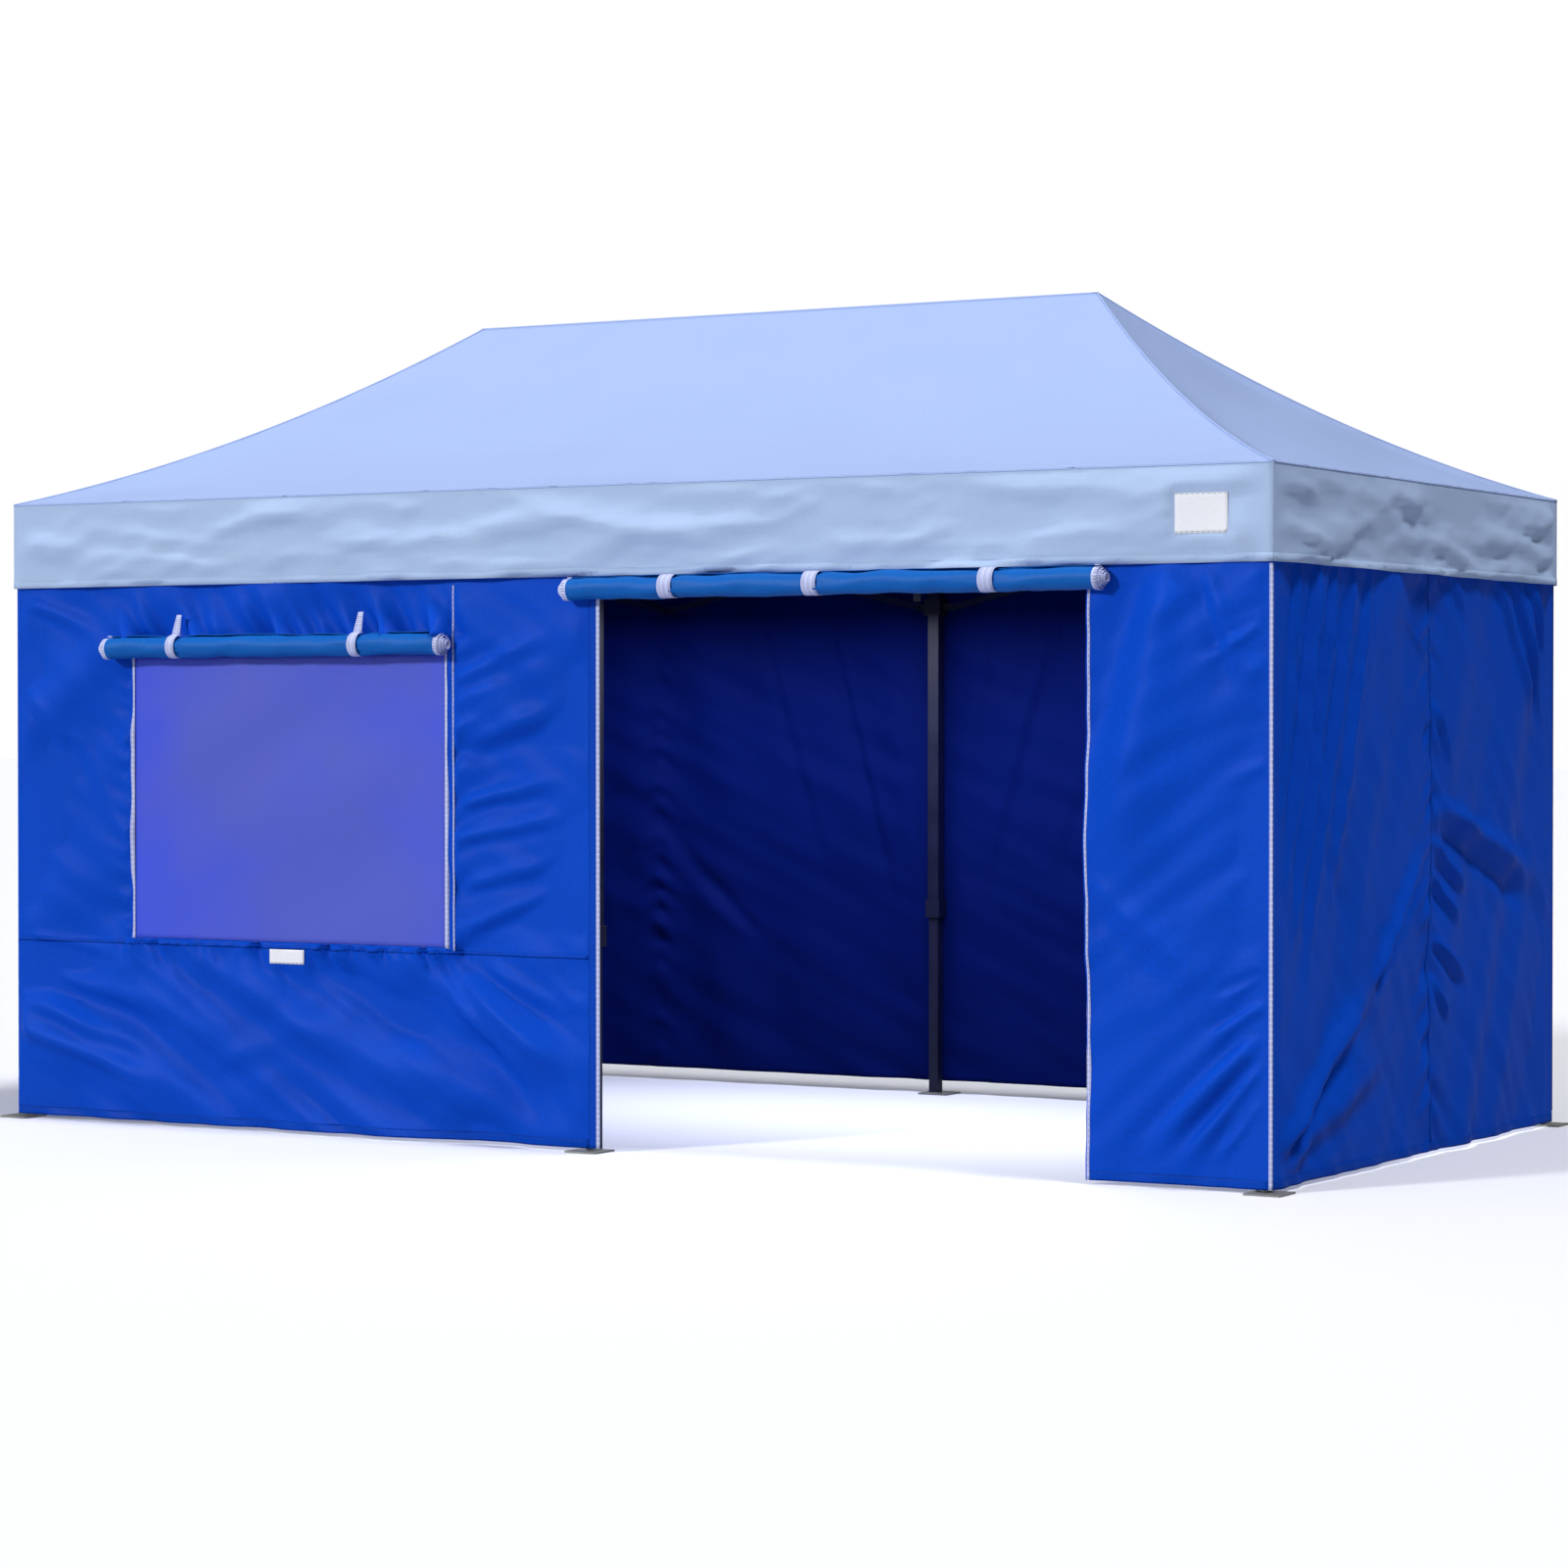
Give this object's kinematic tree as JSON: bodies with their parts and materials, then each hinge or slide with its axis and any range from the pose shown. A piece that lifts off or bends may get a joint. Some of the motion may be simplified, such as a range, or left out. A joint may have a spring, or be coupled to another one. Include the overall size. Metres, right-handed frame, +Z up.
{
  "type": "pop up canopy",
  "caption": "Free-standing pop up canopy with a folding scissor frame, telescoping legs, a hip roof with valance, and side walls with a window and a roll-up door.",
  "frame": {"origin": "on the ground under the middle of the canopy, at the centre of its footprint", "axes": "+X along the length to the right as seen from the door side, +Y to the back, +Z up"},
  "size_m": [4.98, 2.58, 2.8758],
  "materials": {
    "frame_steel": "dark powder coat on square steel tube",
    "zinc_steel": "zinc plated",
    "black_plastic": "moulded, satin",
    "roof_fabric": "light blue coated polyester weave",
    "wall_fabric": "royal blue coated polyester weave",
    "window_film": "soft film, seen against the dark inside"
  },
  "bodies": {
    "frame": {"outer_leg_front_mid": "frame_steel", "wall_front_left": "wall_fabric", "window_film": "window_film", "wall_front_right": "wall_fabric"},
    "leg_front_left": {"outer_leg_front_left": "frame_steel", "wall_left": "wall_fabric"},
    "leg_front_right": {"outer_leg_front_right": "frame_steel", "wall_right": "wall_fabric"},
    "leg_back_left": {"outer_leg_back_left": "frame_steel"},
    "leg_back_mid": {"outer_leg_back_mid": "frame_steel", "wall_back": "wall_fabric"},
    "leg_back_right": {"outer_leg_back_right": "frame_steel"},
    "inner_leg_front_mid": {"inner_leg_front_mid": "zinc_steel"},
    "inner_leg_front_left": {"inner_leg_front_left": "zinc_steel"},
    "inner_leg_front_right": {"inner_leg_front_right": "zinc_steel"},
    "inner_leg_back_left": {"inner_leg_back_left": "zinc_steel"},
    "inner_leg_back_mid": {"inner_leg_back_mid": "zinc_steel"},
    "inner_leg_back_right": {"inner_leg_back_right": "zinc_steel"},
    "slider_front_mid": {"slider_front_mid": "black_plastic"},
    "slider_front_left": {"slider_front_left": "black_plastic"},
    "slider_front_right": {"slider_front_right": "black_plastic"},
    "slider_back_left": {"slider_back_left": "black_plastic"},
    "slider_back_mid": {"slider_back_mid": "black_plastic"},
    "slider_back_right": {"slider_back_right": "black_plastic"},
    "scissor_front_left_1": {"scissor_front_left_1": "frame_steel"},
    "scissor_front_left_2": {"scissor_front_left_2": "frame_steel"},
    "scissor_front_left_3": {"scissor_front_left_3": "frame_steel"},
    "scissor_front_left_4": {"scissor_front_left_4": "frame_steel"},
    "scissor_front_right_1": {"scissor_front_right_1": "frame_steel"},
    "scissor_front_right_2": {"scissor_front_right_2": "frame_steel"},
    "scissor_front_right_3": {"scissor_front_right_3": "frame_steel"},
    "scissor_front_right_4": {"scissor_front_right_4": "frame_steel"},
    "scissor_left_1": {"scissor_left_1": "frame_steel"},
    "scissor_left_2": {"scissor_left_2": "frame_steel"},
    "scissor_left_3": {"scissor_left_3": "frame_steel"},
    "scissor_left_4": {"scissor_left_4": "frame_steel"},
    "scissor_right_1": {"scissor_right_1": "frame_steel"},
    "scissor_right_2": {"scissor_right_2": "frame_steel"},
    "scissor_right_3": {"scissor_right_3": "frame_steel"},
    "scissor_right_4": {"scissor_right_4": "frame_steel"},
    "scissor_back_left_1": {"scissor_back_left_1": "frame_steel"},
    "scissor_back_left_2": {"scissor_back_left_2": "frame_steel"},
    "scissor_back_left_3": {"scissor_back_left_3": "frame_steel"},
    "scissor_back_left_4": {"scissor_back_left_4": "frame_steel"},
    "scissor_back_right_1": {"scissor_back_right_1": "frame_steel"},
    "scissor_back_right_2": {"scissor_back_right_2": "frame_steel"},
    "scissor_back_right_3": {"scissor_back_right_3": "frame_steel"},
    "scissor_back_right_4": {"scissor_back_right_4": "frame_steel"},
    "mid_bracket_left": {"mid_bracket_left": "frame_steel"},
    "peak_arm_front_left": {"peak_arm_front_left": "frame_steel"},
    "peak_arm_back_left": {"peak_arm_back_left": "frame_steel"},
    "peak_post_left": {"peak_post_left": "frame_steel"},
    "mid_bracket_right": {"mid_bracket_right": "frame_steel"},
    "peak_arm_front_right": {"peak_arm_front_right": "frame_steel"},
    "peak_arm_back_right": {"peak_arm_back_right": "frame_steel"},
    "peak_post_right": {"peak_post_right": "frame_steel"},
    "roof_front": {"roof_front": "roof_fabric"},
    "roof_back": {"roof_back": "roof_fabric"},
    "roof_left": {"roof_left": "roof_fabric"},
    "roof_right": {"roof_right": "roof_fabric"}
  },
  "joints": [
    {"name": "fold", "type": "hinge", "parent": "frame", "child": "scissor_front_left_1", "pos_m": [-0.07, -1.2, 2.12], "axis": [0, -1, 0], "range_deg": [0, 71], "deforming": ["wall_front_left", "wall_front_right", "window_film", "wall_left", "wall_right", "wall_back", "roof_front", "roof_back", "roof_left", "roof_right"]},
    {"name": "scissor_front_left_2_pivot", "type": "hinge", "parent": "scissor_front_left_1", "child": "scissor_front_left_2", "pos_m": [-0.635, -1.2, 1.99], "axis": [0, -1, 0], "range_deg": [-142, 0]},
    {"name": "scissor_front_left_3_pivot", "type": "hinge", "parent": "scissor_front_left_1", "child": "scissor_front_left_3", "pos_m": [-1.2, -1.2, 1.86], "axis": [0, -1, 0], "range_deg": [-142, 0]},
    {"name": "scissor_front_left_4_pivot", "type": "hinge", "parent": "scissor_front_left_3", "child": "scissor_front_left_4", "pos_m": [-1.765, -1.2, 1.99], "axis": [0, -1, 0], "range_deg": [0, 142]},
    {"name": "leg_front_left_pivot", "type": "hinge", "parent": "scissor_front_left_3", "child": "leg_front_left", "pos_m": [-2.33, -1.2, 2.12], "axis": [0, -1, 0], "range_deg": [0, 71]},
    {"name": "slider_front_mid_pivot", "type": "hinge", "parent": "scissor_front_left_2", "child": "slider_front_mid", "pos_m": [-0.07, -1.2, 1.86], "axis": [0, -1, 0], "range_deg": [0, 71]},
    {"name": "slider_front_left_pivot", "type": "hinge", "parent": "scissor_front_left_4", "child": "slider_front_left", "pos_m": [-2.33, -1.2, 1.86], "axis": [0, -1, 0], "range_deg": [-71, 0]},
    {"name": "scissor_front_right_1_pivot", "type": "hinge", "parent": "frame", "child": "scissor_front_right_1", "pos_m": [0.07, -1.2, 2.12], "axis": [0, 1, 0], "range_deg": [0, 71]},
    {"name": "scissor_front_right_2_pivot", "type": "hinge", "parent": "scissor_front_right_1", "child": "scissor_front_right_2", "pos_m": [0.635, -1.2, 1.99], "axis": [0, 1, 0], "range_deg": [-142, 0]},
    {"name": "scissor_front_right_3_pivot", "type": "hinge", "parent": "scissor_front_right_1", "child": "scissor_front_right_3", "pos_m": [1.2, -1.2, 1.86], "axis": [0, 1, 0], "range_deg": [-142, 0]},
    {"name": "scissor_front_right_4_pivot", "type": "hinge", "parent": "scissor_front_right_3", "child": "scissor_front_right_4", "pos_m": [1.765, -1.2, 1.99], "axis": [0, 1, 0], "range_deg": [0, 142]},
    {"name": "leg_front_right_pivot", "type": "hinge", "parent": "scissor_front_right_3", "child": "leg_front_right", "pos_m": [2.33, -1.2, 2.12], "axis": [0, 1, 0], "range_deg": [0, 71]},
    {"name": "slider_front_right_pivot", "type": "hinge", "parent": "scissor_front_right_4", "child": "slider_front_right", "pos_m": [2.33, -1.2, 1.86], "axis": [0, 1, 0], "range_deg": [-71, 0]},
    {"name": "scissor_left_1_pivot", "type": "hinge", "parent": "leg_front_left", "child": "scissor_left_1", "pos_m": [-2.4, -1.13, 2.12], "axis": [-1, 0, 0], "range_deg": [0, 71]},
    {"name": "scissor_left_2_pivot", "type": "hinge", "parent": "scissor_left_1", "child": "scissor_left_2", "pos_m": [-2.4, -0.565, 1.99], "axis": [-1, 0, 0], "range_deg": [-142, 0]},
    {"name": "scissor_left_3_pivot", "type": "hinge", "parent": "scissor_left_1", "child": "scissor_left_3", "pos_m": [-2.4, 0, 1.86], "axis": [-1, 0, 0], "range_deg": [-142, 0]},
    {"name": "scissor_left_4_pivot", "type": "hinge", "parent": "scissor_left_3", "child": "scissor_left_4", "pos_m": [-2.4, 0.565, 1.99], "axis": [-1, 0, 0], "range_deg": [0, 142]},
    {"name": "leg_back_left_pivot", "type": "hinge", "parent": "scissor_left_3", "child": "leg_back_left", "pos_m": [-2.4, 1.13, 2.12], "axis": [-1, 0, 0], "range_deg": [0, 71]},
    {"name": "slider_back_left_pivot", "type": "hinge", "parent": "scissor_left_4", "child": "slider_back_left", "pos_m": [-2.4, 1.13, 1.86], "axis": [-1, 0, 0], "range_deg": [-71, 0]},
    {"name": "scissor_right_1_pivot", "type": "hinge", "parent": "leg_front_right", "child": "scissor_right_1", "pos_m": [2.4, -1.13, 2.12], "axis": [-1, 0, 0], "range_deg": [0, 71]},
    {"name": "scissor_right_2_pivot", "type": "hinge", "parent": "scissor_right_1", "child": "scissor_right_2", "pos_m": [2.4, -0.565, 1.99], "axis": [-1, 0, 0], "range_deg": [-142, 0]},
    {"name": "scissor_right_3_pivot", "type": "hinge", "parent": "scissor_right_1", "child": "scissor_right_3", "pos_m": [2.4, 0, 1.86], "axis": [-1, 0, 0], "range_deg": [-142, 0]},
    {"name": "scissor_right_4_pivot", "type": "hinge", "parent": "scissor_right_3", "child": "scissor_right_4", "pos_m": [2.4, 0.565, 1.99], "axis": [-1, 0, 0], "range_deg": [0, 142]},
    {"name": "leg_back_right_pivot", "type": "hinge", "parent": "scissor_right_3", "child": "leg_back_right", "pos_m": [2.4, 1.13, 2.12], "axis": [-1, 0, 0], "range_deg": [0, 71]},
    {"name": "slider_back_right_pivot", "type": "hinge", "parent": "scissor_right_4", "child": "slider_back_right", "pos_m": [2.4, 1.13, 1.86], "axis": [-1, 0, 0], "range_deg": [-71, 0]},
    {"name": "scissor_back_left_1_pivot", "type": "hinge", "parent": "leg_back_left", "child": "scissor_back_left_1", "pos_m": [-2.33, 1.2, 2.12], "axis": [0, 1, 0], "range_deg": [0, 71]},
    {"name": "scissor_back_left_2_pivot", "type": "hinge", "parent": "scissor_back_left_1", "child": "scissor_back_left_2", "pos_m": [-1.765, 1.2, 1.99], "axis": [0, 1, 0], "range_deg": [-142, 0]},
    {"name": "scissor_back_left_3_pivot", "type": "hinge", "parent": "scissor_back_left_1", "child": "scissor_back_left_3", "pos_m": [-1.2, 1.2, 1.86], "axis": [0, 1, 0], "range_deg": [-142, 0]},
    {"name": "scissor_back_left_4_pivot", "type": "hinge", "parent": "scissor_back_left_3", "child": "scissor_back_left_4", "pos_m": [-0.635, 1.2, 1.99], "axis": [0, 1, 0], "range_deg": [0, 142]},
    {"name": "leg_back_mid_pivot", "type": "hinge", "parent": "scissor_back_left_3", "child": "leg_back_mid", "pos_m": [-0.07, 1.2, 2.12], "axis": [0, 1, 0], "range_deg": [0, 71]},
    {"name": "slider_back_mid_pivot", "type": "hinge", "parent": "scissor_back_left_4", "child": "slider_back_mid", "pos_m": [-0.07, 1.2, 1.86], "axis": [0, 1, 0], "range_deg": [-71, 0]},
    {"name": "scissor_back_right_1_pivot", "type": "hinge", "parent": "leg_back_right", "child": "scissor_back_right_1", "pos_m": [2.33, 1.2, 2.12], "axis": [0, -1, 0], "range_deg": [0, 71]},
    {"name": "scissor_back_right_2_pivot", "type": "hinge", "parent": "scissor_back_right_1", "child": "scissor_back_right_2", "pos_m": [1.765, 1.2, 1.99], "axis": [0, -1, 0], "range_deg": [-142, 0]},
    {"name": "scissor_back_right_3_pivot", "type": "hinge", "parent": "scissor_back_right_1", "child": "scissor_back_right_3", "pos_m": [1.2, 1.2, 1.86], "axis": [0, -1, 0], "range_deg": [-142, 0]},
    {"name": "scissor_back_right_4_pivot", "type": "hinge", "parent": "scissor_back_right_3", "child": "scissor_back_right_4", "pos_m": [0.635, 1.2, 1.99], "axis": [0, -1, 0], "range_deg": [0, 142]},
    {"name": "mid_bracket_left_pivot", "type": "hinge", "parent": "scissor_front_left_1", "child": "mid_bracket_left", "pos_m": [-1.2, -1.2, 1.86], "axis": [0, -1, 0], "range_deg": [-71, 0]},
    {"name": "peak_arm_front_left_pivot", "type": "hinge", "parent": "mid_bracket_left", "child": "peak_arm_front_left", "pos_m": [-1.2, -1.16, 1.86], "axis": [1, 0, 0], "range_deg": [0, 71]},
    {"name": "peak_post_left_pivot", "type": "hinge", "parent": "peak_arm_front_left", "child": "peak_post_left", "pos_m": [-1.2, -0.03, 2.12], "axis": [1, 0, 0], "range_deg": [-71, 0]},
    {"name": "peak_arm_back_left_pivot", "type": "hinge", "parent": "peak_post_left", "child": "peak_arm_back_left", "pos_m": [-1.2, 0.03, 2.12], "axis": [1, 0, 0], "range_deg": [-71, 0]},
    {"name": "mid_bracket_right_pivot", "type": "hinge", "parent": "scissor_front_right_1", "child": "mid_bracket_right", "pos_m": [1.2, -1.2, 1.86], "axis": [0, 1, 0], "range_deg": [-71, 0]},
    {"name": "peak_arm_front_right_pivot", "type": "hinge", "parent": "mid_bracket_right", "child": "peak_arm_front_right", "pos_m": [1.2, -1.16, 1.86], "axis": [1, 0, 0], "range_deg": [0, 71]},
    {"name": "peak_post_right_pivot", "type": "hinge", "parent": "peak_arm_front_right", "child": "peak_post_right", "pos_m": [1.2, -0.03, 2.12], "axis": [1, 0, 0], "range_deg": [-71, 0]},
    {"name": "peak_arm_back_right_pivot", "type": "hinge", "parent": "peak_post_right", "child": "peak_arm_back_right", "pos_m": [1.2, 0.03, 2.12], "axis": [1, 0, 0], "range_deg": [-71, 0]},
    {"name": "roof_front_hinge", "type": "hinge", "parent": "peak_post_left", "child": "roof_front", "pos_m": [0, 0, 2.88], "axis": [1, 0, 0], "range_deg": [0, 37.63]},
    {"name": "roof_back_hinge", "type": "hinge", "parent": "peak_post_left", "child": "roof_back", "pos_m": [0, 0, 2.88], "axis": [-1, 0, 0], "range_deg": [0, 37.63]},
    {"name": "roof_left_hinge", "type": "hinge", "parent": "peak_post_left", "child": "roof_left", "pos_m": [-1.26, 0, 2.88], "axis": [0, -1, 0], "range_deg": [0, 37.63]},
    {"name": "roof_right_hinge", "type": "hinge", "parent": "peak_post_right", "child": "roof_right", "pos_m": [1.26, 0, 2.88], "axis": [0, 1, 0], "range_deg": [0, 37.63]},
    {"name": "extend_front_mid", "type": "slide", "parent": "frame", "child": "inner_leg_front_mid", "axis": [0, 0, -1], "range_m": [0, 0.25]},
    {"name": "extend_front_left", "type": "slide", "parent": "leg_front_left", "child": "inner_leg_front_left", "axis": [0, 0, -1], "range_m": [0, 0.25]},
    {"name": "extend_front_right", "type": "slide", "parent": "leg_front_right", "child": "inner_leg_front_right", "axis": [0, 0, -1], "range_m": [0, 0.25]},
    {"name": "extend_back_left", "type": "slide", "parent": "leg_back_left", "child": "inner_leg_back_left", "axis": [0, 0, -1], "range_m": [0, 0.25]},
    {"name": "extend_back_mid", "type": "slide", "parent": "leg_back_mid", "child": "inner_leg_back_mid", "axis": [0, 0, -1], "range_m": [0, 0.25]},
    {"name": "extend_back_right", "type": "slide", "parent": "leg_back_right", "child": "inner_leg_back_right", "axis": [0, 0, -1], "range_m": [0, 0.25]}
  ],
  "couplings": [
    {"joint": "scissor_front_left_2_pivot", "follows": "fold", "ratio": -2},
    {"joint": "scissor_front_left_3_pivot", "follows": "fold", "ratio": -2},
    {"joint": "scissor_front_left_4_pivot", "follows": "fold", "ratio": 2},
    {"joint": "leg_front_left_pivot", "follows": "fold", "ratio": 1},
    {"joint": "slider_front_mid_pivot", "follows": "fold", "ratio": 1},
    {"joint": "slider_front_left_pivot", "follows": "fold", "ratio": -1},
    {"joint": "scissor_front_right_1_pivot", "follows": "fold", "ratio": 1},
    {"joint": "scissor_front_right_2_pivot", "follows": "fold", "ratio": -2},
    {"joint": "scissor_front_right_3_pivot", "follows": "fold", "ratio": -2},
    {"joint": "scissor_front_right_4_pivot", "follows": "fold", "ratio": 2},
    {"joint": "leg_front_right_pivot", "follows": "fold", "ratio": 1},
    {"joint": "slider_front_right_pivot", "follows": "fold", "ratio": -1},
    {"joint": "scissor_left_1_pivot", "follows": "fold", "ratio": 1},
    {"joint": "scissor_left_2_pivot", "follows": "fold", "ratio": -2},
    {"joint": "scissor_left_3_pivot", "follows": "fold", "ratio": -2},
    {"joint": "scissor_left_4_pivot", "follows": "fold", "ratio": 2},
    {"joint": "leg_back_left_pivot", "follows": "fold", "ratio": 1},
    {"joint": "slider_back_left_pivot", "follows": "fold", "ratio": -1},
    {"joint": "scissor_right_1_pivot", "follows": "fold", "ratio": 1},
    {"joint": "scissor_right_2_pivot", "follows": "fold", "ratio": -2},
    {"joint": "scissor_right_3_pivot", "follows": "fold", "ratio": -2},
    {"joint": "scissor_right_4_pivot", "follows": "fold", "ratio": 2},
    {"joint": "leg_back_right_pivot", "follows": "fold", "ratio": 1},
    {"joint": "slider_back_right_pivot", "follows": "fold", "ratio": -1},
    {"joint": "scissor_back_left_1_pivot", "follows": "fold", "ratio": 1},
    {"joint": "scissor_back_left_2_pivot", "follows": "fold", "ratio": -2},
    {"joint": "scissor_back_left_3_pivot", "follows": "fold", "ratio": -2},
    {"joint": "scissor_back_left_4_pivot", "follows": "fold", "ratio": 2},
    {"joint": "leg_back_mid_pivot", "follows": "fold", "ratio": 1},
    {"joint": "slider_back_mid_pivot", "follows": "fold", "ratio": -1},
    {"joint": "scissor_back_right_1_pivot", "follows": "fold", "ratio": 1},
    {"joint": "scissor_back_right_2_pivot", "follows": "fold", "ratio": -2},
    {"joint": "scissor_back_right_3_pivot", "follows": "fold", "ratio": -2},
    {"joint": "scissor_back_right_4_pivot", "follows": "fold", "ratio": 2},
    {"joint": "mid_bracket_left_pivot", "follows": "fold", "ratio": -1},
    {"joint": "peak_arm_front_left_pivot", "follows": "fold", "ratio": 1},
    {"joint": "peak_post_left_pivot", "follows": "fold", "ratio": -1},
    {"joint": "peak_arm_back_left_pivot", "follows": "fold", "ratio": -1},
    {"joint": "mid_bracket_right_pivot", "follows": "fold", "ratio": -1},
    {"joint": "peak_arm_front_right_pivot", "follows": "fold", "ratio": 1},
    {"joint": "peak_post_right_pivot", "follows": "fold", "ratio": -1},
    {"joint": "peak_arm_back_right_pivot", "follows": "fold", "ratio": -1},
    {"joint": "roof_front_hinge", "follows": "fold", "ratio": 0.53},
    {"joint": "roof_back_hinge", "follows": "fold", "ratio": 0.53},
    {"joint": "roof_left_hinge", "follows": "fold", "ratio": 0.53},
    {"joint": "roof_right_hinge", "follows": "fold", "ratio": 0.53}
  ]
}
